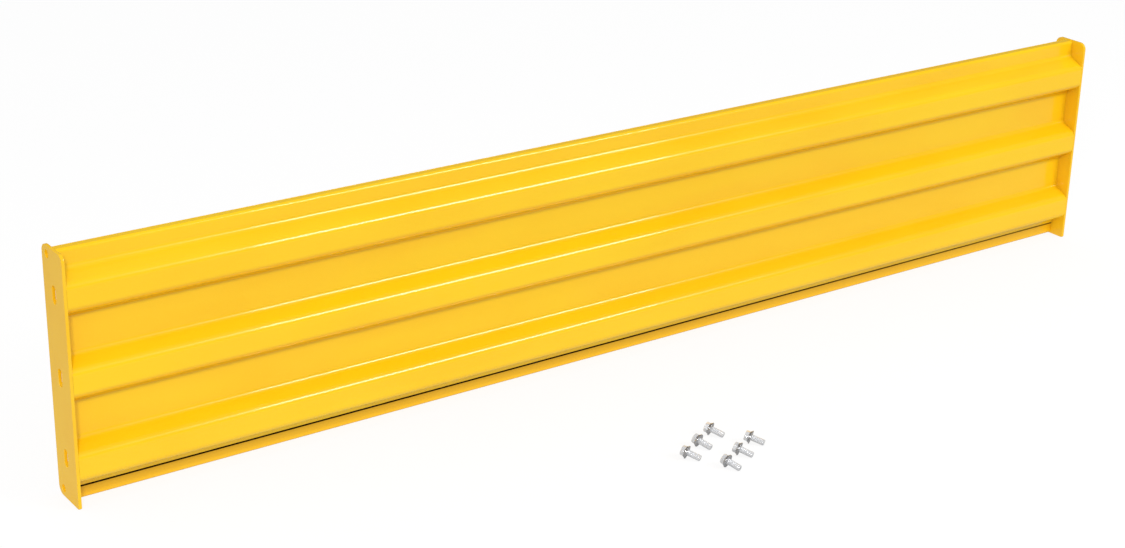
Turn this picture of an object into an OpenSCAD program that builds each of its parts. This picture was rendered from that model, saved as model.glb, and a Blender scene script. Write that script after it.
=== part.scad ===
// Three-rib steel guard rail that bolts between two posts, with its six loose fasteners.
// The origin is the centre of the left end plate's outer face. X runs along the rail,
// Y runs from its ribbed front to its back, and Z is up. All sizes are millimetres.

/* [Rail sheet] */
// Length of the rail over both end plates
rail_l = 2000; // [900:1:3048]
// Thickness of the sheet
sheet_t = 3; // [2:0.1:4]
// Number of ribs, one above the other
rib_count = 3; // [2:1:4]
// Height of a rib's flat crest
crest_h = 37.5; // [24:0.5:60]
// How much a rib's sloping side climbs between the crest and the web
slope_h = 14.5; // [8:0.5:30]
// How far the crests stand in front of the webs
rib_d = 29; // [18:0.5:34]
// Height of the flat web between two ribs
web_h = 61; // [45:1:90]
// Height of the flat web above the top rib and below the bottom one
edge_web_h = 27.25; // [25:0.25:40]
// Depth of the lips bent back along the top and bottom edges
lip_d = 14.5; // [12:0.5:26]
// Radius on the inside of the ribs' bends
bend_r = 10; // [2:0.5:12]
// Radius on the inside of the lips' bends
lip_bend_r = 2; // [1:0.5:6]
// Width of the seam in the front of the strip below the bottom rib
seam_w = 2.4; // [1:0.1:3]
// Depth of that seam
seam_d = 1.5; // [0.5:0.1:1.5]

/* [End plates] */
// Depth of an end plate from front to back
plate_d = 68; // [62:1:90]
// Thickness of an end plate
plate_t = 4.75; // [4:0.05:12]
// How far the end plates stand above and below the sheet
plate_overlap = 1; // [0.5:0.5:12]
// Radius of the front top corner
front_top_r = 12; // [2:0.5:14]
// Radius of the front bottom corner
front_bottom_r = 3; // [1:0.5:14]
// Radius of the two back corners
back_r = 13; // [2:0.5:14]

/* [Holes] */
// Clearance between a bolt's shank and the sides of its slot
slot_gap = 1.25; // [0.5:0.05:3]
// Length of a bolt slot from end to end
slot_l = 27.5; // [20:0.5:32]
// How far each outer slot sits inboard of its rib's centre
slot_inset = 4; // [0:0.5:8]
// Diameter of the small holes in the back corners
corner_hole_d = 12; // [6:0.5:13]
// From the back edge to a corner hole's centre
corner_hole_y = 17; // [13:0.5:22]
// Gap between a corner hole and the lip beside it
corner_hole_gap = 2.5; // [0.5:0.1:4]

/* [Welds] */
// Leg of the fillet welds on the back of the sheet
weld_leg = 4; // [2:0.5:6]
// From the end of each weld to where the next bend starts
weld_margin = 1; // [0.5:0.5:2]

/* [Fasteners] */
// Diameter of a bolt's shank
bolt_d = 9.5; // [6:0.5:10]
// Length of a bolt under its head
bolt_l = 25.4; // [20:0.1:60]
// Chamfer at a bolt's tip
tip_chamfer = 1; // [0.5:0.1:2]
// Width of a bolt's hexagon head across its flats
head_af = 14.3; // [12:0.1:17]
// Height of a bolt's head
head_h = 6; // [4:0.1:8]
// Outside diameter of a split lock washer
lock_od = 17.3; // [15:0.1:19]
// Thickness of a split lock washer
lock_t = 2.4; // [1.5:0.1:3]
// Width of the split in a lock washer
lock_split = 1.2; // [0.6:0.1:2]
// Outside diameter of a flat washer
flat_od = 20.6; // [18:0.1:26]
// Thickness of a flat washer
flat_t = 1.6; // [1:0.1:3]
// Clearance between a bolt's shank and the washers, all round
washer_gap = 0.4; // [0.2:0.1:0.8]

/* [Fastener layout] */
// Place of the first bolt's head along the rail
first_x = 814; // [100:1:830]
// How far the first bolt's head lies in front of the crests
first_y = 334; // [150:1:600]
// Step along the rail from one bolt to the next in a row
step_x = 39.5; // [30:0.5:60]
// Step towards the rail from one bolt to the next in a row
step_y = 21; // [0:1:30]
// How far the second row is shifted along the rail
row_shift_x = 33; // [-40:1:60]
// How far the second row lies in front of the first
row_shift_y = 55; // [50:1:90]
// Heading of the bolts' tips, measured from the rail's length
heading = -61; // [-100:1:-40]

/* [Hidden] */
SIDES = ["left", "right"];
// One fastener for each rib at each end, laid out in two rows
FASTENERS = [for (i = [1 : 2 * rib_count]) i];

$fn = 48;
BEND_STEPS = 6;
THROUGH = 1;
// How far each bolt is turned from the common heading
TURNS = [3, -7, 1, -8, 3, 7];

// Heights, counted from the middle of the rail
rib_h = crest_h + 2 * slope_h;
rib_pitch = rib_h + web_h;
sheet_h = rib_count * rib_h + (rib_count - 1) * web_h + 2 * edge_web_h + sheet_t;
plate_h = sheet_h + 2 * plate_overlap;
rib_z = [for (i = [rib_count - 1 : -1 : 0]) (i - (rib_count - 1) / 2) * rib_pitch];
web_z = [for (i = [0 : rib_count - 2]) (rib_z[i] + rib_z[i + 1]) / 2];
top_z = (sheet_h - sheet_t) / 2;

// Depths of the middle of the sheet's thickness
crest_y = (sheet_t - plate_d) / 2;
web_y = crest_y + rib_d;

// How far a rib's bends and a lip's bend take from the flats beside them
rib_trim = (bend_r + sheet_t / 2) * tan(atan(rib_d / slope_h) / 2);
lip_trim = lip_bend_r + sheet_t / 2;

// The seam starts where the bend at the bottom rib's foot has ended
seam_z = rib_z[rib_count - 1] - rib_h / 2 - rib_trim - seam_w;

// Middle and height of the flats between the outer ribs and the lips
edge_flat_z = (rib_z[0] + rib_h / 2 + rib_trim + top_z - lip_trim) / 2;
edge_flat_h = edge_web_h - rib_trim - lip_trim;

// Places in the end plates
slot_w = bolt_d + 2 * slot_gap;
corner_hole = [plate_d / 2 - corner_hole_y,
               sheet_h / 2 - sheet_t - corner_hole_gap - corner_hole_d / 2];

function unit(v) = v / norm(v);
function left_of(v) = [-v[1], v[0]];
function turn(u, v) = u[0] * v[1] - u[1] * v[0];

// Points of one bend with radius r at corner b of the path a-b-c, on the line that runs
// side millimetres to the left of the middle of the sheet
function bend(a, b, c, r, side) =
    let (u = unit(b - a), v = unit(c - b),
         s = sign(turn(u, v)), angle = acos(u * v),
         centre = b - u * r * tan(angle / 2) + s * left_of(u) * r,
         out = -s * left_of(u), start = atan2(out[1], out[0]))
    [for (k = [0 : BEND_STEPS])
        let (w = start + s * angle * k / BEND_STEPS)
        centre + (r - s * side) * [cos(w), sin(w)]];

function reversed(list) = [for (i = [len(list) - 1 : -1 : 0]) list[i]];

// The same line along the whole path, whose first and last bends are the lips'
function sheet_line(path, side) =
    let (n = len(path) - 1,
         r = [for (i = [0 : n])
                 (i == 1 || i == n - 1 ? lip_bend_r : bend_r) + sheet_t / 2],
         first = left_of(unit(path[1] - path[0])),
         last = left_of(unit(path[n] - path[n - 1])))
    concat([path[0] + side * first],
           [for (i = [1 : n - 1])
               each bend(path[i - 1], path[i], path[i + 1], r[i], side)],
           [path[n] + side * last]);

// Path of the sheet's middle, from the end of the top lip down to the bottom one
function rib_path(z) = [
    [web_y, z + rib_h / 2], [crest_y, z + crest_h / 2],
    [crest_y, z - crest_h / 2], [web_y, z - rib_h / 2]];
sheet_path = concat([[web_y + lip_d, top_z], [web_y, top_z]],
                    [for (z = rib_z) each rib_path(z)],
                    [[web_y, -top_z], [web_y + lip_d, -top_z]]);

// Carries a Y-Z outline along X from x0, for a length of l
module along_x(x0, l) {
    translate([x0, 0, 0]) rotate([90, 0, 90]) linear_extrude(l) children();
}

// Puts a piece that is drawn at the left end at that end or at the right one
module at_end(side) {
    if (side == "left") children();
    else translate([rail_l, 0, 0]) mirror([1, 0, 0]) children();
}

module rail_sheet() {
    color("gold") along_x(plate_t, rail_l - 2 * plate_t) difference() {
        polygon(concat(sheet_line(sheet_path, sheet_t / 2),
                       reversed(sheet_line(sheet_path, -sheet_t / 2))));
        translate([web_y - sheet_t / 2 - THROUGH, seam_z])
            square([seam_d + THROUGH, seam_w]);
    }
}

// An end plate's outline, with its own radius at each corner
module plate_outline() {
    y = plate_d / 2;
    z = plate_h / 2;
    hull() {
        translate([front_bottom_r - y, front_bottom_r - z]) circle(front_bottom_r);
        translate([front_top_r - y, z - front_top_r]) circle(front_top_r);
        for (s = [-1, 1]) translate([y - back_r, s * (z - back_r)]) circle(back_r);
    }
}

module slot(z) {
    reach = (slot_l - slot_w) / 2;
    translate([0, z]) square([slot_w, 2 * reach], center = true);
    for (s = [-1, 1]) translate([0, z + s * reach]) circle(d = slot_w);
}

module end_plate(side) {
    color("goldenrod") at_end(side) along_x(0, plate_t) difference() {
        plate_outline();
        for (z = rib_z) slot(z - sign(z) * slot_inset);
        for (s = [-1, 1])
            translate([corner_hole[0], s * corner_hole[1]]) circle(d = corner_hole_d);
    }
}

// A fillet weld in the corner between an end plate and the back of a flat of the
// sheet, which is h high between its bends and centred at z
module weld(y, z, h) {
    l = h - 2 * weld_margin;
    translate([plate_t, y + sheet_t / 2, z - l / 2]) linear_extrude(l)
        polygon([[0, 0], [weld_leg, 0], [0, weld_leg]]);
}

module welds(side) {
    color("gold") at_end(side) {
        for (z = rib_z) weld(crest_y, z, crest_h - 2 * rib_trim);
        for (z = web_z) weld(web_y, z, web_h - 2 * rib_trim);
        for (z = [-edge_flat_z, edge_flat_z]) weld(web_y, z, edge_flat_h);
    }
}

// Lays a fastener down: its flat washer's rim and its tip both rest on the floor
floor_z = -plate_h / 2;
washers_t = lock_t + flat_t;
lie_angle = atan((flat_od - bolt_d) / 2 / (bolt_l - tip_chamfer - washers_t));
head_z = floor_z + washers_t * sin(lie_angle) + flat_od / 2 * cos(lie_angle);
module laid_down(i) {
    row = floor((i - 1) / rib_count);
    place = (i - 1) % rib_count;
    translate([first_x + place * step_x + row * row_shift_x,
               -plate_d / 2 - first_y + place * step_y - row * row_shift_y, head_z])
        rotate([0, 90 + lie_angle, heading + TURNS[(i - 1) % len(TURNS)]])
            children();
}

// A bolt points along +Z with its head's underside at zero
module bolt(i) {
    color("silver") laid_down(i) {
        translate([0, 0, -head_h]) cylinder(d = head_af / cos(30), h = head_h, $fn = 6);
        cylinder(d = bolt_d, h = bolt_l - tip_chamfer);
        translate([0, 0, bolt_l - tip_chamfer])
            cylinder(d1 = bolt_d, d2 = bolt_d - 2 * tip_chamfer, h = tip_chamfer);
    }
}

module lock_washer(i) {
    color("lightgray") laid_down(i) difference() {
        cylinder(d = lock_od, h = lock_t);
        translate([0, 0, -THROUGH])
            cylinder(d = bolt_d + 2 * washer_gap, h = lock_t + 2 * THROUGH);
        translate([-lock_split / 2, 0, -THROUGH])
            cube([lock_split, lock_od, lock_t + 2 * THROUGH]);
    }
}

module flat_washer(i) {
    color("whitesmoke") laid_down(i) translate([0, 0, lock_t]) difference() {
        cylinder(d = flat_od, h = flat_t);
        translate([0, 0, -THROUGH])
            cylinder(d = bolt_d + 2 * washer_gap, h = flat_t + 2 * THROUGH);
    }
}

rail_sheet();
for (s = SIDES) {
    end_plate(s);
    welds(s);
}
for (i = FASTENERS) {
    bolt(i);
    lock_washer(i);
    flat_washer(i);
}
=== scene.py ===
import math
import bmesh
import bpy
import numpy as np
from mathutils import Matrix, Vector
from mathutils.geometry import tessellate_polygon


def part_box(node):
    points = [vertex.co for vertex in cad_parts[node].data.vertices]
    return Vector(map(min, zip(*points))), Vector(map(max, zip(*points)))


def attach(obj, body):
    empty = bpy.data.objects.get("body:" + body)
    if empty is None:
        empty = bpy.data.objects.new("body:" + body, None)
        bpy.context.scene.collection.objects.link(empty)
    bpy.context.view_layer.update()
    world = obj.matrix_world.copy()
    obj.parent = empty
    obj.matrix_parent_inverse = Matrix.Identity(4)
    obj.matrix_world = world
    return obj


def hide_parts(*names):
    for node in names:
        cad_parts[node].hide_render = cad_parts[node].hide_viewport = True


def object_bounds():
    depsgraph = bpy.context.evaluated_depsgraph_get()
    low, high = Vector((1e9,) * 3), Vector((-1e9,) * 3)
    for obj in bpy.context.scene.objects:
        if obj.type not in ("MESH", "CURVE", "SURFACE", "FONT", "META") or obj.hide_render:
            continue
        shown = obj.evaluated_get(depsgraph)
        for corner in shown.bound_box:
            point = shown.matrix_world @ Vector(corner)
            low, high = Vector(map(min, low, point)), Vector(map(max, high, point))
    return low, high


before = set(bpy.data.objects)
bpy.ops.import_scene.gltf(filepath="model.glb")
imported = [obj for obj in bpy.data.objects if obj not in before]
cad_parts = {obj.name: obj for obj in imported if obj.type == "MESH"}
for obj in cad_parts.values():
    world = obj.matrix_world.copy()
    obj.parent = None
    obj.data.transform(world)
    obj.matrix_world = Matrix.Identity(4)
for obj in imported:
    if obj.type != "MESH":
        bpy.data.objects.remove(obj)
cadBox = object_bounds()
print("frame loaded:", len(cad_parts), "nodes")


# The sheet's sizes, which the welds on its back follow too
rail = {
    "sheetThickness": 0.003,
    "ribs": 3,
    "crestHeight": 0.0375,
    "slopeHeight": 0.0145,    # climb of a rib's side between crest and web
    "ribDepth": 0.029,
    "webHeight": 0.061,
    "lipDepth": 0.0145,
    "ribBendRadius": 0.010,   # inside the bend
    "lipBendRadius": 0.002,
    "seamWidth": 0.0024,      # the seam below the bottom rib
    "seamDepth": 0.0015,
}


# Joins neighbouring points of a rows x columns grid into quads
def gridFaces(rows, columns, wrapRows=False, wrapColumns=False):
    i = np.arange(rows if wrapRows else rows - 1)
    j = np.arange(columns if wrapColumns else columns - 1)
    i, j = np.meshgrid(i, j, indexing="ij")
    nextI, nextJ = (i + 1) % rows, (j + 1) % columns
    quads = np.stack([i * columns + j, nextI * columns + j,
                      nextI * columns + nextJ, i * columns + nextJ], -1)
    return quads.reshape(-1, 4)


# Puts points and faces into a smooth-shaded mesh object that sits at the origin
def makePiece(name, points, faces, material):
    mesh = bpy.data.meshes.new(name)
    mesh.from_pydata(np.asarray(points, float).reshape(-1, 3).tolist(), [],
                     [list(map(int, face)) for face in faces])
    mesh.update()
    mesh.polygons.foreach_set("use_smooth", [True] * len(mesh.polygons))
    mesh.materials.append(material)
    piece = bpy.data.objects.new(name, mesh)
    bpy.context.scene.collection.objects.link(piece)
    return piece


# Collects several grids or fans into one mesh's points and faces
class Stock:
    def __init__(self):
        self.points, self.faces, self.count = [], [], 0

    def add(self, points, faces):
        points = np.asarray(points, float).reshape(-1, 3)
        self.points.append(points)
        self.faces += [[int(k) + self.count for k in face] for face in faces]
        self.count += len(points)

    def piece(self, name, material):
        return makePiece(name, np.concatenate(self.points), self.faces, material)


# A closed body from rings of points: quads from ring to ring, a fan on each end
def ringBody(stock, rings):
    rings = np.asarray(rings, float)
    rows, columns = rings.shape[:2]
    ends = np.stack([rings[0].mean(0), rings[-1].mean(0)])
    points = np.concatenate([rings.reshape(-1, 3), ends])
    j = np.arange(columns)
    low, high = rows * columns, rows * columns + 1
    last = (rows - 1) * columns
    fans = [[low, a, b] for a, b in zip(j, (j + 1) % columns)]
    fans += [[high, last + b, last + a] for a, b in zip(j, (j + 1) % columns)]
    stock.add(points, gridFaces(rows, columns, False, True).tolist() + fans)


# Wraps a node's output, so that an expression on it adds Math nodes
class Val:
    def __init__(self, shader, socket):
        self.shader, self.socket = shader, socket

    def math(self, operation, *values):
        inputs = {k: v for k, v in enumerate((self,) + values)}
        return self.shader.node("ShaderNodeMath", {"operation": operation}, inputs)

    def __add__(self, other):
        return self.math("ADD", other)

    def __sub__(self, other):
        return self.math("SUBTRACT", other)

    def __mul__(self, other):
        return self.math("MULTIPLY", other)

    def __rsub__(self, other):
        return self.shader.node("ShaderNodeMath", {"operation": "SUBTRACT"},
                                {0: other, 1: self})

    __radd__ = __add__
    __rmul__ = __mul__

    # Rises smoothly from 0 at low to 1 at high
    def smooth(self, low, high):
        return self.shader.node(
            "ShaderNodeMapRange", {"interpolation_type": "SMOOTHSTEP"},
            {"Value": self, "From Min": low, "From Max": high})


# The node tree of one material, light or world
class Shader:
    def __init__(self, owner):
        owner.use_nodes = True
        self.tree = owner.node_tree
        self.tree.nodes.clear()

    # Adds a node: its settings, then the values or links of its sockets
    def node(self, kind, settings=None, sockets=None, output=0):
        made = self.tree.nodes.new(kind)
        for name, value in (settings or {}).items():
            setattr(made, name, value)
        for name, value in (sockets or {}).items():
            if isinstance(value, Val):
                self.tree.links.new(value.socket, made.inputs[name])
            else:
                made.inputs[name].default_value = value
        return Val(self, made.outputs[output])

    def objectPlace(self, scale=(1, 1, 1)):
        place = self.node("ShaderNodeTexCoord", output="Object")
        return self.node("ShaderNodeMapping", None, {"Vector": place, "Scale": scale})

    def noise(self, place, scale, detail=2.0, roughness=0.5):
        return self.node("ShaderNodeTexNoise", None, {
            "Vector": place, "Scale": scale, "Detail": detail, "Roughness": roughness})

    def mixColor(self, factor, a, b):
        return self.node("ShaderNodeMix", {"data_type": "RGBA"}, {0: factor, 6: a, 7: b}, 2)

    # 1 for what the camera sees directly, and 1 for what is reflected or seen through glass
    def rays(self):
        camera, glossy, through = (
            self.node("ShaderNodeLightPath", output="Is %s Ray" % kind)
            for kind in ("Camera", "Glossy", "Transmission"))
        return camera, glossy.math("MAXIMUM", through)

    # A number that the mesh carries at each of its points
    def attribute(self, name):
        return self.node("ShaderNodeAttribute", {"attribute_name": name}, output="Fac")

    def bump(self, height, distance, normal=None):
        sockets = {"Height": height, "Distance": distance, "Strength": 1.0}
        if normal is not None:
            sockets["Normal"] = normal
        return self.node("ShaderNodeBump", None, sockets)


# Output nodes have no outputs, so they are linked here
def linkOutput(shader, surface, kind="ShaderNodeOutputMaterial"):
    made = shader.tree.nodes.new(kind)
    shader.tree.links.new(surface.socket, made.inputs["Surface"])


powderCoat = {
    "color": (0.95, 0.578, 0.005, 1),
    "paleColor": (0.95, 0.620, 0.011, 1),    # tone of the fine flecks
    "deepColor": (0.94, 0.550, 0.003, 1),    # where the slow drift is low
    "patchColor": (0.95, 0.625, 0.002, 1),   # soft patches of a fuller tone
    "foldShadeColor": (0.92, 0.455, 0.002, 1),    # painted shade, a browner tone under the ribs and below the seam
    "seamShadeColor": (0.060, 0.014, 0.001, 1),   # near-black painted shade in the seam's groove and just below it
    "stretch": (0.35, 1, 1),                 # slow noises are drawn out along the rail
    "driftScale": 14,
    "driftRange": (0.30, 0.62),
    "fleckScale": 900,
    "fleckRange": (0.50, 0.75),
    "fleckShare": 0.5,
    "patchScale": 5.5,
    "patchRange": (0.50, 0.60),
    "roughness": 0.24,
    "driftRoughness": 0.08,                  # how much the drift and the flecks change it
    "fleckRoughness": 0.04,
    "seamRoughness": 0.8,
    "peelScale": 420,                        # orange peel, lumps about 2.4 mm apart
    "peelDepth": 0.000028,
    "rollScale": 9,                          # slow waves along the rail
    "rollDepth": 0.0004,
    "coat": 0.6,
    "coatRoughness": 0.05,
    "refraction": 1.48,
}


# Yellow powder coat. Its base colour drifts between a deep tone and the main one with
# slow noise, then takes pale flecks and, by the share in patches, soft fuller patches.
# One point attribute turns it towards a browner painted shade under the ribs and below the
# seam, another towards near-black painted shade in the seam, which is also rough metal with
# no coat. Roughness is a base plus shares of drift, flecks and that seam mark, and the height
# is orange peel on slow waves.
def makePowderCoat(name, tone=(1, 1, 1), waves=1.0, coat=1.0, patches=0.0):
    paint = powderCoat
    material = bpy.data.materials.new(name)
    shader = Shader(material)
    place = shader.objectPlace()
    stretched = shader.objectPlace(paint["stretch"])
    drift = shader.noise(stretched, paint["driftScale"], 3)
    fleck = shader.noise(place, paint["fleckScale"], 1)
    patch = shader.noise(stretched, paint["patchScale"], 1.5)
    peel = shader.noise(place, paint["peelScale"], 1.5, 0.45)
    roll = shader.noise(stretched, paint["rollScale"], 1)
    deep, main, pale = (tuple(c * t for c, t in zip(paint[k], tone)) + (1,)
                        for k in ("deepColor", "color", "paleColor"))
    color = shader.mixColor(drift.smooth(*paint["driftRange"]), deep, main)
    color = shader.mixColor(fleck.smooth(*paint["fleckRange"]) * paint["fleckShare"],
                            color, pale)
    color = shader.mixColor(patch.smooth(*paint["patchRange"]) * patches,
                            color, paint["patchColor"])
    foldShade = shader.attribute("foldShade")
    seamShade = shader.attribute("paintedSeamShade")
    # Painted shade: browner under the ribs and below the seam, near-black in the seam
    color = shader.mixColor(foldShade, color, paint["foldShadeColor"])
    color = shader.mixColor(seamShade, color, paint["seamShadeColor"])
    rough = paint["roughness"] + (drift - 0.5) * paint["driftRoughness"] \
        + (fleck - 0.5) * paint["fleckRoughness"] + seamShade * paint["seamRoughness"]
    slow = shader.bump(roll, paint["rollDepth"] * waves)
    surface = shader.node("ShaderNodeBsdfPrincipled", None, {
        "Base Color": color, "Roughness": rough, "Metallic": seamShade,
        "Normal": shader.bump(peel, paint["peelDepth"], slow),
        "Coat Weight": (1 - seamShade) * (paint["coat"] * coat),
        "Coat Roughness": paint["coatRoughness"], "IOR": paint["refraction"]})
    linkOutput(shader, surface)
    return material


zincPlate = {
    "color": (0.90, 0.905, 0.915, 1),
    "dullColor": (0.76, 0.77, 0.79, 1),
    "patchScale": 260,
    "patchRange": (0.35, 0.7),
    "patchRoughness": 0.12,
    "grainScale": 700,
    "grainDepth": 0.00001,
    "bolt": {"roughness": 0.16, "metallic": 0.38, "tone": 1.0},
    "washer": {"roughness": 0.21, "metallic": 0.8, "tone": 0.78},
}


# Bright zinc: its colour goes from bright to dull with a patchy noise and is multiplied
# by the tone, its roughness is a base plus a share of that noise, and a fine grain is
# its height. It is only partly metal, as the rest stands for the plating's pale bloom.
def makeZinc(name, finish):
    material = bpy.data.materials.new(name)
    shader = Shader(material)
    place = shader.objectPlace()
    patch = shader.noise(place, zincPlate["patchScale"], 3, 0.6)
    grain = shader.noise(place, zincPlate["grainScale"], 2)
    color = shader.mixColor(patch.smooth(*zincPlate["patchRange"]),
                            zincPlate["color"], zincPlate["dullColor"])
    color = shader.node("ShaderNodeVectorMath", {"operation": "SCALE"},
                        {0: color, 3: finish["tone"]})
    surface = shader.node("ShaderNodeBsdfPrincipled", None, {
        "Base Color": color, "Metallic": finish["metallic"],
        "Roughness": finish["roughness"] + patch * zincPlate["patchRoughness"],
        "Normal": shader.bump(grain, zincPlate["grainDepth"])})
    linkOutput(shader, surface)
    return material


railPaint = makePowderCoat("railPaint", patches=0.4)
platePaint = makePowderCoat("platePaint", tone=(0.99, 0.96, 2.4), waves=0.4, coat=0.6)
weldPaint = makePowderCoat("weldPaint", tone=(0.97, 0.97, 1), waves=0.0)
boltZinc = makeZinc("boltZinc", zincPlate["bolt"])
washerZinc = makeZinc("washerZinc", zincPlate["washer"])
print("materials made")


sheetFinish = {
    "bendSteps": 10,
    "flatPlaces": (0.0, 0.03, 0.25, 0.5, 0.75, 0.97, 1.0),
    "stations": 90,
    "edgeRound": 0.0009,
    "edgePlaces": (0, 0.15, 0.4, 0.7, 1.0),  # where the rounding's points lie, as shares
    "edgeThinning": 0.45,     # how much of its thickness an edge loses
    "endGap": 0.00004,        # hairline between the sheet's ends and the end plates
    "endPlaces": (0, 0.0001, 0.0003, 0.0006, 0.001, 0.003),
    "endThickness": (0.96, 0.98, 0.99, 1, 1, 1),    # share of the thickness at each
    "wave": 0.00018,          # how far the flats wander
    # each slow wave: radians a metre along X and across the profile, phase, strength
    "waves": ((9.1, 31, 0.4, 1), (17.3, -47, 1.9, 1), (31.7, 83, 4.2, 0.6)),
    # points across the seam, from its top and from its bottom
    "seamTopPlaces": (0.00005, 0.0001, 0.0002),
    "seamBottomPlaces": (-0.00015, -0.00005, 0, 0.0002, 0.0007),
    "shade": 0.26,            # share of the seam's near-black painted shade on the strip below it
    "shadeFade": 0.010,       # distance over which it falls to about a third
    "shadeFromEdge": 0.02,    # it keeps this far from the lip's end
    "seamLoss": 0.35,         # how much of the seam's painted shade is lost at the right
    "seamLossFrom": 0.45,     # share of the length where that loss starts
    "seamLossOver": 0.5,      # and over which it grows
    "foldFrom": 0.15,         # how far down a flat leans before it takes the painted shade under the ribs
    "foldOver": 0.5,
    "foldFromEdge": 0.03,
    "stripFoldShade": 0.6,         # share of that painted shade on the strip below the seam
}


# Corners of the sheet's middle line in Y and Z, from the top lip's end to the bottom one's
def sheetCorners():
    low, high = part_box("rail_sheet")
    half = rail["sheetThickness"] / 2
    crestY = low.y + half
    webY = crestY + rail["ribDepth"]
    topZ = high.z - half
    pitch = rail["crestHeight"] + 2 * rail["slopeHeight"] + rail["webHeight"]
    middle = (low.z + high.z) / 2
    centres = middle + pitch * ((rail["ribs"] - 1) / 2 - np.arange(rail["ribs"]))
    crest = rail["crestHeight"] / 2
    foot = crest + rail["slopeHeight"]
    rib = np.array([[webY, foot], [crestY, crest], [crestY, -crest], [webY, -foot]])
    ribs = rib[None] + np.stack([0 * centres, centres], -1)[:, None]
    lip = webY + rail["lipDepth"]
    return np.concatenate([[[lip, topZ], [webY, topZ]], ribs.reshape(-1, 2),
                           [[webY, 2 * middle - topZ], [lip, 2 * middle - topZ]]])


# Directions of the flats, and for each corner between two of them its angle, the radius
# of its bend's middle line, and how much of each flat the bend takes: the radius times
# the tangent of half the angle
def bends(corners):
    step = np.diff(corners, axis=0)
    unit = step / np.linalg.norm(step, axis=1)[:, None]
    angle = np.arccos(np.clip((unit[:-1] * unit[1:]).sum(1), -1, 1))
    radius = np.full(len(angle), rail["ribBendRadius"])
    radius[[0, -1]] = rail["lipBendRadius"]
    radius += rail["sheetThickness"] / 2
    return unit, angle, radius, radius * np.tan(angle / 2)


# The middle line with its bends: each corner becomes an arc of the bend's radius, and
# each flat between two arcs gets points at fixed fractions. Gives points and normals.
def bentLine(corners):
    unit, angle, radius, trim = bends(corners)
    before, after = unit[:-1], unit[1:]
    side = np.sign(before[:, 0] * after[:, 1] - before[:, 1] * after[:, 0])
    left = np.stack([-before[:, 1], before[:, 0]], -1)
    centre = corners[1:-1] - before * trim[:, None] + left * (side * radius)[:, None]
    start = np.arctan2(-side * left[:, 1], -side * left[:, 0])
    t = np.linspace(0, 1, sheetFinish["bendSteps"] + 1)
    w = start[:, None] + (side * angle)[:, None] * t
    spoke = np.stack([np.cos(w), np.sin(w)], -1)
    arcs = centre[:, None] + radius[:, None, None] * spoke
    arcNormals = -side[:, None, None] * spoke
    starts = np.concatenate([corners[:1], arcs[:, -1]])
    ends = np.concatenate([arcs[:, 0], corners[-1:]])
    f = np.array(sheetFinish["flatPlaces"])
    inner = f[1:-1]
    flats = starts[:, None] + (ends - starts)[:, None] * inner[:, None]
    flatNormals = np.stack([-unit[:, 1], unit[:, 0]], -1)[:, None].repeat(len(inner), 1)
    points, normals = [corners[:1]], [flatNormals[:1, 0]]
    for k in range(len(flats)):
        points.append(flats[k])
        normals.append(flatNormals[k])
        if k < len(arcs):
            points.append(arcs[k])
            normals.append(arcNormals[k])
    points.append(corners[-1:])
    normals.append(flatNormals[-1:, 0])
    return np.concatenate(points), np.concatenate(normals)


# How far the sheet wanders towards its back: a sum of slow sine waves of x and s, the
# distance across the profile, brought between 0 and 1 and faded to nothing at both ends
def sheetWave(x, s):
    low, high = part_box("rail_sheet")
    t = (x - low.x) / (high.x - low.x)
    fade = np.sin(np.pi * np.clip(t, 0, 1)) ** 0.5
    waves = sum(strength * np.sin(alongX * x + across * s + phase)
                for alongX, across, phase, strength in sheetFinish["waves"])
    most = sum(wave[3] for wave in sheetFinish["waves"])
    return sheetFinish["wave"] * fade * (waves + most) / (2 * most)


# How far along the line each of some heights on its last upright flat lies
def walkedTo(heights, line, walked, webY):
    flat = (np.abs(line[:, 0] - webY) < 1e-7) & (walked > walked[-1] * 0.8)
    return np.interp(-heights, -line[flat, 1], walked[flat])


# Adds points to the middle line where the seam's edges lie. Gives the line, its normals,
# the distance walked along it to each point, and that distance for the seam's points.
def lineWithSeam(corners):
    line, normal = bentLine(corners)
    steps = np.linalg.norm(np.diff(line, axis=0), axis=1)
    walked = np.concatenate([[0], np.cumsum(steps)])
    seamTop = corners[-3, 1] - bends(corners)[3][-2]
    fromTop = np.concatenate([sheetFinish["seamTopPlaces"],
                              rail["seamWidth"] + np.array(sheetFinish["seamBottomPlaces"])])
    seamWalk = walkedTo(seamTop - fromTop, line, walked, corners[-3, 0])
    merged = np.sort(np.concatenate([walked, seamWalk]), kind="stable")
    line = np.stack([np.interp(merged, walked, line[:, k]) for k in (0, 1)], -1)
    normal = np.stack([np.interp(merged, walked, normal[:, k]) for k in (0, 1)], -1)
    return line, normal, merged, seamWalk


# Puts points at both ends of the line, close together where its edges get round
def lineWithEdges(line, normal, walked):
    ends = np.array(sheetFinish["edgePlaces"]) * sheetFinish["edgeRound"]
    count = len(ends)
    first = line[0] + (line[1] - line[0]) / np.linalg.norm(line[1] - line[0]) * ends[:, None]
    last = line[-1] + (line[-2] - line[-1]) / np.linalg.norm(line[-2] - line[-1]) \
        * ends[::-1, None]
    line = np.concatenate([first, line[1:-1], last])
    normal = np.concatenate([normal[:1].repeat(count, 0), normal[1:-1],
                             normal[-1:].repeat(count, 0)])
    walked = np.concatenate([ends, walked[1:-1], walked[-1] - ends[::-1]])
    return line, normal, walked


# Gives each point of a piece a number that its material reads
def markPoints(piece, name, values):
    mark = piece.data.attributes.new(name, "FLOAT", "POINT")
    mark.data.foreach_set("value", np.asarray(values).astype(np.float32).ravel())
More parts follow.
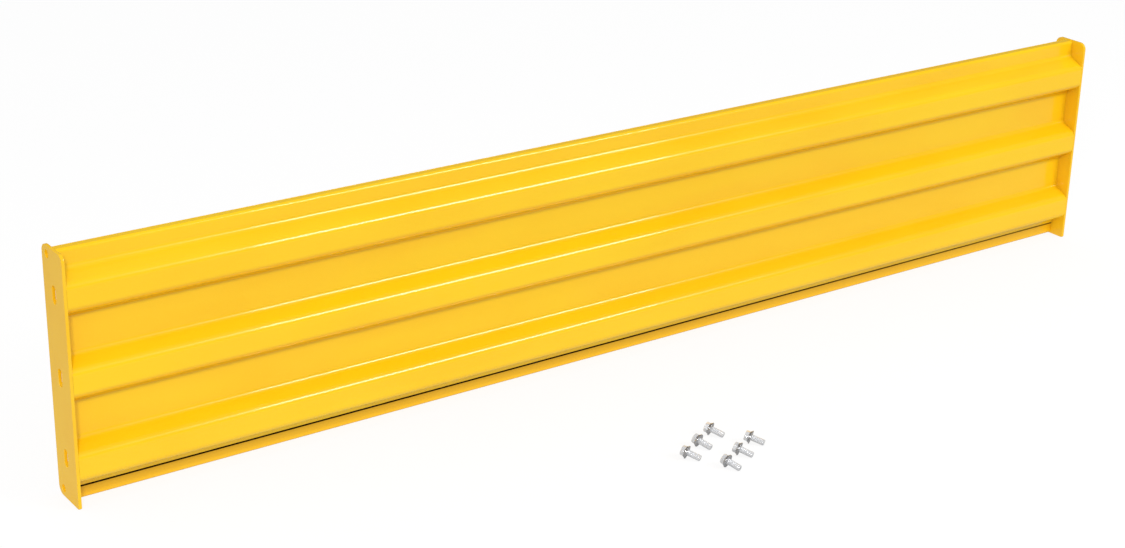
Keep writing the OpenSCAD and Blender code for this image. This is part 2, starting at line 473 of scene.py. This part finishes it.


# How much of the seam's near-black painted shade each point of the profile takes: 1 in the
# seam, and below it a share that falls off exponentially with the distance from the seam
def seamShadeAmount(walked, fromEnd, seamFrom, seamTo):
    below = np.clip(walked - seamTo, 0, 1)
    shade = sheetFinish["shade"] * np.exp(-below / sheetFinish["shadeFade"]) \
        * (walked >= seamTo) * (fromEnd > sheetFinish["shadeFromEdge"])
    return np.where((walked > seamFrom + 1e-6) & (walked < seamTo - 1e-6), 1.0, shade)


# How much browner painted shade each point of the profile takes: it grows with the normal's
# Z, which is the downward lean of the front, for the part above the bottom rib's middle,
# and it is a fixed share from the seam's bottom down
def foldShadeAmount(line, normal, walked, fromEnd, corners, seamTo):
    facing = np.clip((normal[:, 1] - sheetFinish["foldFrom"]) / sheetFinish["foldOver"], 0, 1)
    facing = facing * (fromEnd > sheetFinish["foldFromEdge"])
    lowest = corners[-4:-2, 1].mean() + rail["crestHeight"] / 2
    facing = facing * (line[:, 1] > lowest)
    return np.where(walked > seamTo - 1e-6, sheetFinish["stripFoldShade"], facing)


# The bent sheet: the middle line offset by half the thickness to either side and carried
# along X. The offset shrinks over the last stretch of each lip and at both ends, which
# rounds them, and on the front it steps in where the seam runs. The front's points carry
# two marks of painted shade: near-black in the seam, weaker towards the right, and a browner
# shade under the ribs and below the seam.
def makeSheet():
    low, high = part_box("rail_sheet")
    half = rail["sheetThickness"] / 2
    corners = sheetCorners()
    line, normal, walked, seamWalk = lineWithSeam(corners)
    seamFrom, grooveFrom, grooveTo, seamTo = seamWalk[[0, 1, 4, 7]]
    line, normal, walked = lineWithEdges(line, normal, walked)
    fromEnd = np.minimum(walked, walked[-1] - walked)
    rounding = np.clip(fromEnd / sheetFinish["edgeRound"], 0, 1)
    shrink = np.sqrt(np.clip(1 - (1 - rounding) ** 2, 0.02, 1))
    bulk = half * (1 - sheetFinish["edgeThinning"] * (1 - shrink))
    inSeam = (walked > grooveFrom + 1e-6) & (walked < grooveTo - 1e-6)
    frontBulk = bulk - rail["seamDepth"] * inSeam
    gap = sheetFinish["endGap"]
    nearEnd = np.array(sheetFinish["endPlaces"])
    inner = np.linspace(low.x + gap, high.x - gap, sheetFinish["stations"])[1:-1]
    x = np.concatenate([low.x + gap + nearEnd, inner, high.x - gap - nearEnd[::-1]])
    thin = np.array(sheetFinish["endThickness"])
    thin = np.concatenate([thin, np.ones(len(inner)), thin[::-1]])[:, None, None]
    back = line[None] + bulk[:, None] * normal * thin
    front = line[None] - frontBulk[:, None] * normal * thin
    outline = np.concatenate([back, front[:, ::-1]], 1)
    across = np.concatenate([walked, walked[::-1]])
    depth = outline[..., 0] + sheetWave(x[:, None], across[None])
    points = np.stack([np.broadcast_to(x[:, None], depth.shape), depth, outline[..., 1]], -1)
    rows, columns = points.shape[:2]
    faces = gridFaces(rows, columns, False, True)[:, ::-1].tolist()
    k = np.arange(columns // 2 - 1)
    cap = np.stack([k, k + 1, columns - 2 - k, columns - 1 - k], -1)
    faces += cap.tolist() + (cap[:, ::-1] + (rows - 1) * columns).tolist()
    piece = makePiece("rail_sheet_skin", points, faces, railPaint)
    # Painted shade: near-black in the seam and fading on the strip below it
    seamShade = seamShadeAmount(walked, fromEnd, seamFrom, seamTo)
    seamShade = np.concatenate([0 * seamShade, seamShade[::-1]])
    along = (x - low.x) / (high.x - low.x)
    lost = np.clip((along - sheetFinish["seamLossFrom"]) / sheetFinish["seamLossOver"], 0, 1)
    kept = 1 - sheetFinish["seamLoss"] * lost
    markPoints(piece, "paintedSeamShade", kept[:, None] * seamShade)
    # Painted shade: browner under the ribs and below the seam
    foldShade = foldShadeAmount(line, normal, walked, fromEnd, corners, seamTo)
    markPoints(piece, "foldShade", np.tile(np.concatenate([0 * foldShade, foldShade[::-1]]), rows))
    return piece


sheet = makeSheet()
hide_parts("rail_sheet")
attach(sheet, "root")
print("rail sheet made")


plateShape = {
    "frontTopRadius": 0.012,
    "frontBottomRadius": 0.003,
    "backRadius": 0.013,
    "slotLength": 0.0275,
    "slotWidth": 0.012,
    "slotPlaces": (0.1235, 0.0, -0.1235),
    "holeDiameter": 0.012,
    "holeFromBack": 0.017,
    "holePlaces": (0.178, -0.178),
    "edgeRound": 0.0004,
    "edgeSteps": 4,
    "rimMargin": 0.0006,      # how far the rim reaches into the flat face
    "cornerSteps": 12,
    "slotSteps": 16,
    "holeSteps": 32,
}


# A closed outline of arcs: each arc has a centre, a radius and its start and end angles.
# Gives points and the outward normals of the outline.
def arcOutline(arcs, steps):
    arcs = np.asarray(arcs, float)
    t = np.linspace(0, 1, steps + 1)
    w = arcs[:, 3:4] + (arcs[:, 4:5] - arcs[:, 3:4]) * t
    normal = np.stack([np.cos(w), np.sin(w)], -1)
    points = arcs[:, None, :2] + arcs[:, 2][:, None, None] * normal
    return points.reshape(-1, 2), normal.reshape(-1, 2)


# An end plate: flat faces filled between outline and holes, and round each of them a
# rim that is a rounded edge, a straight wall and a rounded edge again
def makePlate(name, node):
    low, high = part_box(node)
    quarter = math.pi / 2
    fb, ft, bk = (plateShape[k] for k in ("frontBottomRadius", "frontTopRadius", "backRadius"))
    loops = [arcOutline([
        (low.y + fb, low.z + fb, fb, 2 * quarter, 3 * quarter),
        (high.y - bk, low.z + bk, bk, 3 * quarter, 4 * quarter),
        (high.y - bk, high.z - bk, bk, 0, quarter),
        (low.y + ft, high.z - ft, ft, quarter, 2 * quarter)], plateShape["cornerSteps"])]
    middleY = (low.y + high.y) / 2
    r = plateShape["slotWidth"] / 2
    reach = plateShape["slotLength"] / 2 - r
    for z in plateShape["slotPlaces"]:
        loops.append(arcOutline([(middleY, z + reach, r, 0, 2 * quarter),
                                 (middleY, z - reach, r, 2 * quarter, 4 * quarter)],
                                plateShape["slotSteps"]))
    h = plateShape["holeDiameter"] / 2
    for z in plateShape["holePlaces"]:
        points, normal = arcOutline(
            [(high.y - plateShape["holeFromBack"], z, h, 0, 4 * quarter)],
            plateShape["holeSteps"])
        loops.append((points[:-1], normal[:-1]))
    e = plateShape["edgeRound"]
    a = np.linspace(0, quarter, plateShape["edgeSteps"] + 1)
    flat = [e + plateShape["rimMargin"]]
    inset = np.concatenate([flat, e * (1 - np.sin(a)), e * (1 - np.sin(a[::-1])), flat])
    across = np.concatenate([[low.x], low.x + e * (1 - np.cos(a)),
                             high.x - e * (1 - np.cos(a[::-1])), [high.x]])
    stock = Stock()
    starts, rings = [], []
    for k, (points, normal) in enumerate(loops):
        into = -1 if k == 0 else 1
        place = points[None] + into * inset[:, None, None] * normal[None]
        grid = np.concatenate([np.broadcast_to(across[:, None, None], place.shape[:2] + (1,)),
                               place], -1)
        faces = gridFaces(len(inset), len(points), False, True)
        starts.append((stock.count, len(points)))
        rings.append(grid)
        stock.add(grid, (faces if k == 0 else faces[:, ::-1]).tolist())
    rows = len(inset)
    for row in (0, rows - 1):
        polygons = [[Vector(p) for p in ring[row]] for ring in rings]
        index = np.concatenate([np.arange(n) + start + row * n for start, n in starts])
        for tri in tessellate_polygon([[Vector((p.y, p.z, 0)) for p in loop]
                                       for loop in polygons]):
            stock.faces.append([int(index[i]) for i in tri])
    plate = stock.piece(name, platePaint)
    fixNormals(plate)
    return plate


# Turns every face of a closed mesh outwards
def fixNormals(piece):
    work = bmesh.new()
    work.from_mesh(piece.data)
    bmesh.ops.recalc_face_normals(work, faces=work.faces[:])
    work.to_mesh(piece.data)
    work.free()


for side in ("left", "right"):
    plate = makePlate(side + "_end_plate_skin", side + "_end_plate")
    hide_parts(side + "_end_plate")
    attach(plate, "root")
print("end plates made")


weldBead = {
    "leg": 0.004,
    "margin": 0.001,          # from each end to where the sheet's next bend starts
    "ripple": 0.0022,         # distance from one ripple to the next
    "rippleDepth": 0.00022,
    "stepsPerRipple": 6,
    "sectionSteps": 9,
    "size": 0.96,             # of the leg, so that the ripples stay inside it
    "unevenness": 0.04,
    "unevenAlongZ": 410,
    "unevenAlongX": 90,
    "endSharpness": 14,       # power of the closing curve, higher is blunter
    "bulge": (0.86, 0.06),    # the face's reach at its legs, and what its middle adds
    "lean": 0.0003,
}


# A weld bead along Z in the corner between a plate and the sheet's back. Its size is the
# leg less a cosine for the ripples, plus a slow sine, and closes round at both ends. Its
# face is a quarter circle that bulges by a sine of twice the angle.
def beadRings(x, y, low, high, sign):
    leg = weldBead["leg"]
    count = int(round((high - low) / weldBead["ripple"])) * weldBead["stepsPerRipple"]
    t = np.linspace(0, 1, count + 1)
    z = low + (high - low) * t
    phase = (z - low) / weldBead["ripple"]
    swell = 1 - weldBead["rippleDepth"] / leg * (0.5 + 0.5 * np.cos(2 * np.pi * phase)) \
        + weldBead["unevenness"] * np.sin(z * weldBead["unevenAlongZ"]
                                          + x * weldBead["unevenAlongX"])
    close = np.sqrt(np.clip(1 - (2 * np.abs(t - 0.5)) ** weldBead["endSharpness"], 0.03, 1))
    size = leg * weldBead["size"] * swell * close
    w = np.linspace(0, math.pi / 2, weldBead["sectionSteps"])
    reach, extra = weldBead["bulge"]
    bulge = reach + extra * np.sin(2 * w)
    across = np.concatenate([[0.0], np.cos(w) * bulge])
    back = np.concatenate([[0.0], np.sin(w) * bulge])
    lean = weldBead["lean"] * np.cos(2 * np.pi * phase)
    return np.stack([x + sign * size[:, None] * across[None],
                     y + size[:, None] * back[None],
                     z[:, None] + lean[:, None] * (across + back)[None]], -1)


# One bead behind each upright flat of the sheet, short of the bends at its ends
def makeWelds(name, node, sign):
    low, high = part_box(node)
    x = low.x if sign > 0 else high.x
    corners = sheetCorners()
    y = corners[:, 0] + rail["sheetThickness"] / 2
    short = np.concatenate([[0], bends(corners)[3], [0]]) + weldBead["margin"]
    upright = np.abs(np.diff(corners[:, 0])) < 1e-6
    stock = Stock()
    for k in np.flatnonzero(upright):
        ringBody(stock, beadRings(x, y[k], corners[k + 1, 1] + short[k + 1],
                                  corners[k, 1] - short[k], sign))
    welds = stock.piece(name, weldPaint)
    fixNormals(welds)
    return welds


for side, sign in (("left", 1), ("right", -1)):
    welds = makeWelds(side + "_weld_beads", side + "_welds", sign)
    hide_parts(side + "_welds")
    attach(welds, "root")
print("weld beads made")


fastener = {
    "heading": -61.0,
    "turns": (3, -7, 1, -8, 3, 7),
    "roll": (12, 47, 28, 5, 35, 19),      # how far each bolt is rolled about its axis
    "shank": 0.0095,
    "length": 0.0254,
    "tipChamfer": 0.001,
    "headFlats": 0.0143,
    "pitch": 0.00106,
    "threadDepth": 0.00038,
    "lockOuter": 0.0173,
    "lockThickness": 0.0024,
    "lockGap": 0.0012,
    "flatOuter": 0.0206,
    "flatThickness": 0.0016,
    "washerGap": 0.0004,
    "shankSteps": 40,
    "ringsPerPitch": 10,
    "grooveSlope": 2.6,       # steepness of the thread groove's sides
    "grooveRoot": 0.15,       # half the width of its root, times that slope
    "threadFrom": 0.0016,     # plain stretch under the head
    "threadFade": 0.0012,     # over which the thread fades in below it
    "headSteps": 96,
    "cornerSoftening": 0.00022,
    # the head's rings, from its underside up: depth, and the cone's radius as a share
    # of half the width across the flats
    "headDepths": (0.0, 0.0, 0.00035, 0.00036, 0.0005, 0.0014, 0.0030, 0.0042, 0.0046,
                   0.0050, 0.0053, 0.0056, 0.0058, 0.00595, 0.006, 0.006, 0.006),
    "headCone": (0.5, 0.93, 0.94, 1.10, 1.13, 9, 9, 9, 1.145, 1.11, 1.075, 1.035,
                 1.0, 0.965, 0.93, 0.6, 0.25),
    "headCrease": 32,         # degrees between faces that make an edge look sharp
    "washerCrease": 50,
    "washerRound": 0.00028,
    "washerSteps": 72,
    "lockMargin": 0.0002,     # the lock washer is this much thinner on each face
    "lockClimb": 0.0006,      # and rises this much over its turn
    "lockTurn": 60,           # degrees, where its split lies
    "lockTurnStep": 17,       # and how much further round for each bolt's number
}


# Axes of a fastener that lies with its flat washer's rim and its tip on the floor, and
# the place of its head's underside
def fastenerPlace(i):
    f = fastener
    reach = f["length"] - f["tipChamfer"] - f["lockThickness"] - f["flatThickness"]
    lie = math.atan((f["flatOuter"] - f["shank"]) / 2 / reach)
    heading = math.radians(f["heading"] + f["turns"][i - 1])
    axis = np.array([math.cos(lie) * math.cos(heading), math.cos(lie) * math.sin(heading),
                     -math.sin(lie)])
    up = np.array([math.sin(lie) * math.cos(heading), math.sin(lie) * math.sin(heading),
                   math.cos(lie)])
    side = np.cross(up, axis)
    low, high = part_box("flat_washer_%d" % i)
    middle = (np.array(low) + np.array(high)) / 2
    start = middle - axis * (f["lockThickness"] + f["flatThickness"] / 2)
    return start, side, up, axis


# Points given as distance across, distance up and distance along, set down at a fastener
def setDown(points, place, roll=0.0):
    start, side, up, axis = place
    c, s = math.cos(roll), math.sin(roll)
    across = points[..., 0] * c - points[..., 1] * s
    upward = points[..., 0] * s + points[..., 1] * c
    return start + across[..., None] * side + upward[..., None] * up \
        + points[..., 2][..., None] * axis


# The threaded shank: radius falls from crest to root and back once per pitch, shifted by
# the angle so that the groove is a helix. It fades in under the head and tapers at the tip.
def shankRings():
    f = fastener
    w = np.linspace(0, 2 * np.pi, f["shankSteps"] + 1)[:-1]
    z = np.linspace(0, f["length"], int(f["length"] / f["pitch"] * f["ringsPerPitch"]) + 1)
    turn = (z[:, None] / f["pitch"] - w[None] / (2 * np.pi)) % 1.0
    groove = 1 - np.clip(np.abs(turn - 0.5) * f["grooveSlope"] - f["grooveRoot"], 0, 1)
    fade = np.clip((z - f["threadFrom"]) / f["threadFade"], 0, 1)[:, None]
    tip = np.clip((z - f["length"] + f["tipChamfer"]) / f["tipChamfer"], 0, 1)[:, None]
    outer = f["shank"] / 2 - tip * f["tipChamfer"]
    r = np.minimum(f["shank"] / 2 - f["threadDepth"] * groove * fade, outer)
    return np.stack([r * np.cos(w), r * np.sin(w), np.broadcast_to(z[:, None], r.shape)], -1)


# The head: a hexagon whose top corners are cut by a cone, on a thin round bearing face.
# The radius at an angle is the smaller of the hexagon's and the cone's at that height.
def headRings():
    f = fastener
    w = np.linspace(0, 2 * np.pi, f["headSteps"] + 1)[:-1]
    flat = f["headFlats"] / 2
    sector = (w + np.pi / 6) % (np.pi / 3) - np.pi / 6
    hexagon = flat / np.cos(sector)
    softened = np.minimum(hexagon, flat / math.cos(math.pi / 6) - f["cornerSoftening"])
    depth = np.array(f["headDepths"])
    cone = flat * np.array(f["headCone"])
    r = np.minimum(softened[None], cone[:, None])
    return np.stack([r * np.cos(w), r * np.sin(w),
                     np.broadcast_to(-depth[:, None], r.shape)], -1)[::-1]


# A bolt: its head and its shank, rolled about its axis
def makeBolt(i, place):
    roll = math.radians(fastener["roll"][i - 1])
    stock = Stock()
    ringBody(stock, setDown(headRings(), place, roll))
    ringBody(stock, setDown(shankRings(), place, roll))
    bolt = stock.piece("hex_bolt_%d" % i, boltZinc)
    fixNormals(bolt)
    bolt.data.set_sharp_from_angle(angle=math.radians(fastener["headCrease"]))
    return bolt


# A washer's section, softened at its corners, carried round the axis. A lock washer's
# section stops short of a full turn and climbs a little, so that its ends stand apart.
def makeWasher(name, place, inner, outer, low, high, gap, climb, roll):
    e = fastener["washerRound"]
    c = 1 - math.sqrt(0.5)
    section = np.array([
        [inner + e, low], [outer - e, low], [outer - e * c, low + e * c], [outer, low + e],
        [outer, high - e], [outer - e * c, high - e * c], [outer - e, high],
        [inner + e, high], [inner + e * c, high - e * c], [inner, high - e],
        [inner, low + e], [inner + e * c, low + e * c]])
    half = gap / 2 / ((inner + outer) / 2)
    turns = np.linspace(half, 2 * np.pi - half, fastener["washerSteps"] + 1)
    if not gap:
        turns = turns[:-1]
    rise = climb * (turns / (2 * np.pi) - 0.5)
    r = np.broadcast_to(section[None, :, 0], (len(turns), len(section)))
    rings = np.stack([r * np.cos(turns)[:, None], r * np.sin(turns)[:, None],
                      section[None, :, 1] + rise[:, None]], -1)
    stock = Stock()
    points = setDown(rings, place, roll)
    if gap:
        ringBody(stock, points)
    else:
        stock.add(points, gridFaces(len(turns), len(section), True, True).tolist())
    washer = stock.piece(name, washerZinc)
    fixNormals(washer)
    washer.data.set_sharp_from_angle(angle=math.radians(fastener["washerCrease"]))
    return washer


for i in range(1, 7):
    place = fastenerPlace(i)
    f = fastener
    inner = f["shank"] / 2 + f["washerGap"]
    bolt = makeBolt(i, place)
    lock = makeWasher("split_washer_%d" % i, place, inner, f["lockOuter"] / 2,
                      f["lockMargin"], f["lockThickness"] - f["lockMargin"],
                      f["lockGap"], f["lockClimb"],
                      math.radians(f["lockTurn"] + f["lockTurnStep"] * i))
    flat = makeWasher("plain_washer_%d" % i, place, inner, f["flatOuter"] / 2,
                      f["lockThickness"], f["lockThickness"] + f["flatThickness"], 0, 0, 0)
    for piece, node, slot in ((bolt, "bolt", "bolt_zinc"), (lock, "lock_washer", "washer_zinc"),
                              (flat, "flat_washer", "washer_zinc")):
        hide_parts("%s_%d" % (node, i))
        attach(piece, "root")
print("fasteners made")


studio = {
    "floorLit": (0.95, 0.95, 0.95, 1),         # the part of the floor that takes light
    "floorWhite": 0.86,        # share of the floor that glows instead
    "floorMirrored": 0.24,     # strength of that glow in reflections
    "floorSoft": 0.56,         # and as soft light on the object
    "floorNear": 0.42,         # how much more soft light it gives beside the rail
    "wall": (0.35, 0.35, 0.35, 1),             # soft light from low directions
    "ceiling": (0.86, 0.86, 0.87, 1),          # soft light from above
    "leftWall": (0.84, 0.84, 0.84, 1),         # soft light from the left
    "backWall": (0.95, 0.95, 0.95, 1),         # and from behind
    "wallMirrored": (0.12, 0.12, 0.12, 1),     # walls and ceiling in reflections
    "ceilingMirrored": (0.05, 0.05, 0.06, 1),
    "endsMirrored": (0.36, 0.35, 0.33, 1),     # and what lies beyond the rail's ends
    "floorSize": 30.0,         # from its middle to its edge
    "floorDrop": 0.0002,       # how far it lies below the rail
    "nearRange": (0.08, 0.5),  # distance from the rail's line where that share fades
    "ceilingRange": (0.30, 0.62),      # part of the direction's Z, X or Y over which
    "leftRange": (0.1, 0.9),           # each tone takes over
    "backRange": (0.3, 0.8),
    "endsRange": (0.74, 0.94),
    "right": {"place": (2.6, -2.67, 2.0), "aim": (2.6, 0, 0), "size": (1.6, 0.7), "power": 48},
    "left": {"place": (-1.45, -2.67, 2.0), "aim": (-1.45, 0, 0), "size": (0.5, 0.4),
             "power": 57},
}


# Floor: a part that takes light, and so keeps the object's shadow, under a larger share
# that glows: white to the camera, dimmer in reflections and as soft light. The soft part
# falls off with the distance in Y from the rail.
def makeFloor():
    low = cadBox[0]
    count = 9
    grid = np.linspace(-studio["floorSize"], studio["floorSize"], count)
    x, y = np.meshgrid(grid, grid, indexing="ij")
    points = np.stack([x, y, np.full_like(x, low[2] - studio["floorDrop"])], -1)
    material = bpy.data.materials.new("paleFloor")
    shader = Shader(material)
    camera, mirror = shader.rays()
    lit = shader.node("ShaderNodeBsdfDiffuse", None, {"Color": studio["floorLit"]})
    away = shader.node("ShaderNodeSeparateXYZ", None, {"Vector": shader.objectPlace()}, "Y")
    near = 1 - away.math("ABSOLUTE").smooth(*studio["nearRange"])
    soft = 1 - camera.math("MAXIMUM", mirror)
    strength = camera + mirror * studio["floorMirrored"] \
        + soft * (studio["floorSoft"] + near * studio["floorNear"])
    glow = shader.node("ShaderNodeEmission", None,
                       {"Color": (1, 1, 1, 1), "Strength": strength})
    surface = shader.node("ShaderNodeMixShader", None,
                          {0: studio["floorWhite"], 1: lit, 2: glow})
    linkOutput(shader, surface)
    floor = makePiece("floor", points, gridFaces(count, count)[:, ::-1], material)


# World: as soft light one tone up to a low height, which then changes to the ceiling's,
# with a brighter left and a brighter back. Reflections see it all much darker, apart from
# what lies beyond the rail's ends, and the camera sees plain white.
def makeWorld():
    world = bpy.data.worlds.new("studioWorld")
    bpy.context.scene.world = world
    shader = Shader(world)
    direction = shader.node("ShaderNodeTexCoord", output="Generated")
    right, behind, up = (shader.node("ShaderNodeSeparateXYZ", None, {"Vector": direction}, k)
                         for k in "XYZ")
    high = up.smooth(*studio["ceilingRange"])
    camera, mirror = shader.rays()
    left = right * -1
    soft = shader.mixColor(high, studio["wall"], studio["ceiling"])
    soft = shader.mixColor(left.smooth(*studio["leftRange"]), soft, studio["leftWall"])
    soft = shader.mixColor(behind.smooth(*studio["backRange"]), soft, studio["backWall"])
    mirrored = shader.mixColor(high, studio["wallMirrored"], studio["ceilingMirrored"])
    ends = left.math("ABSOLUTE").smooth(*studio["endsRange"])
    mirrored = shader.mixColor(ends, mirrored, studio["endsMirrored"])
    color = shader.mixColor(mirror, soft, mirrored)
    color = shader.mixColor(camera, color, (1, 1, 1, 1))
    background = shader.node("ShaderNodeBackground", None, {"Color": color, "Strength": 1.0})
    linkOutput(shader, background, "ShaderNodeOutputWorld")


# A rectangular lamp at a place, turned to face its aim
def makeLamp(name, settings):
    light = bpy.data.lights.new(name, "AREA")
    light.shape = "RECTANGLE"
    light.size, light.size_y = settings["size"]
    light.energy = settings["power"]
    lamp = bpy.data.objects.new(name, light)
    bpy.context.scene.collection.objects.link(lamp)
    place = Vector(settings["place"])
    turn = (Vector(settings["aim"]) - place).to_track_quat("-Z", "Y")
    lamp.matrix_world = Matrix.Translation(place) @ turn.to_matrix().to_4x4()


view = {
    "place": (-0.9865, -2.5401, 1.2401),
    "aim": (0.7767, -0.0978, 0.0198),
    "roll": 1.356,             # degrees, anticlockwise
    "lens": 67.721,
}


# A camera that looks from its place to its aim and is rolled about that line
def makeCamera():
    forward = np.array(view["aim"]) - np.array(view["place"])
    forward /= np.linalg.norm(forward)
    level = np.cross(forward, (0, 0, 1))
    level /= np.linalg.norm(level)
    rise = np.cross(level, forward)
    a = math.radians(view["roll"])
    right = level * math.cos(a) + rise * math.sin(a)
    up = np.cross(right, forward)
    data = bpy.data.cameras.new("mainView")
    data.lens = view["lens"]
    data.sensor_width = 36.0
    data.clip_end = 100
    camera = bpy.data.objects.new("mainView", data)
    bpy.context.scene.collection.objects.link(camera)
    turn = Matrix((right, up, -forward)).transposed().to_4x4()
    camera.matrix_world = Matrix.Translation(view["place"]) @ turn
    bpy.context.scene.camera = camera


makeFloor()
makeWorld()
for name in ("right", "left"):
    makeLamp(name + "Lamp", studio[name])
makeCamera()
bpy.context.scene.view_settings.view_transform = "Standard"
print("studio made")
